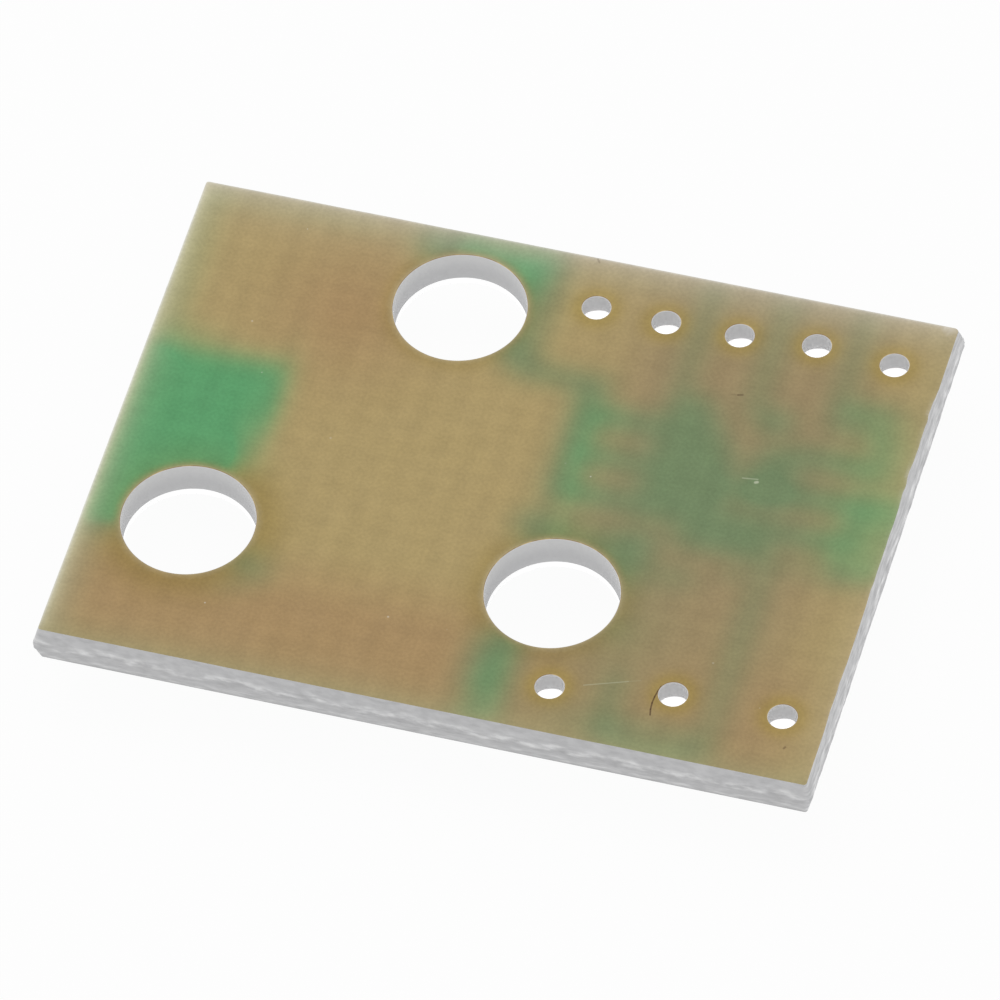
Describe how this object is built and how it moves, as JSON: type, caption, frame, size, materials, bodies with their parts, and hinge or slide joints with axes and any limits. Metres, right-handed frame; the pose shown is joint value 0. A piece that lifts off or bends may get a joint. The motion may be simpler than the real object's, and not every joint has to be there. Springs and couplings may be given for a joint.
{
  "type": "sound module",
  "caption": "Small single-sided circuit board of a sound module: bare glass-epoxy face up, mounting and wire holes, etched copper and a voice chip on the underside.",
  "frame": {"origin": "middle of the board's bare upper face", "axes": "+Z out of the bare face, +X along the board's long side, +Y from the three-hole wire row to the five-hole wire row"},
  "size_m": [0.0208, 0.0156, 0.0027],
  "materials": {
    "laminate": "woven glass-epoxy laminate, satin, slightly see-through",
    "solder_mask": "green solder mask, semi-gloss",
    "copper": "etched copper foil, satin",
    "solder": "tin solder, bright",
    "chip_mould": "black moulded epoxy, matt",
    "chip_lead": "tin-plated, satin"
  },
  "bodies": {
    "root": {"laminate_board": "laminate", "solder_mask": "solder_mask", "ground_copper": "copper", "supply_copper": "copper", "signal_copper_1": "copper", "signal_copper_2": "copper", "signal_copper_3": "copper", "signal_copper_4": "copper", "spare_pad_1": "copper", "spare_pad_2": "copper", "tinned_land_1": "solder", "tinned_land_2": "solder", "tinned_land_3": "solder", "tinned_land_4": "solder", "tinned_land_5": "solder", "tinned_land_6": "solder", "tinned_land_7": "solder", "tinned_land_8": "solder", "chip_body": "chip_mould", "chip_lead_1": "chip_lead", "chip_lead_2": "chip_lead", "chip_lead_3": "chip_lead", "chip_lead_4": "chip_lead", "chip_lead_5": "chip_lead", "chip_lead_6": "chip_lead", "chip_lead_7": "chip_lead", "chip_lead_8": "chip_lead", "solder_joint_1": "solder", "solder_joint_2": "solder", "solder_joint_3": "solder", "solder_joint_4": "solder", "solder_joint_5": "solder", "solder_joint_6": "solder", "solder_joint_7": "solder", "solder_joint_8": "solder"}
  },
  "joints": []
}
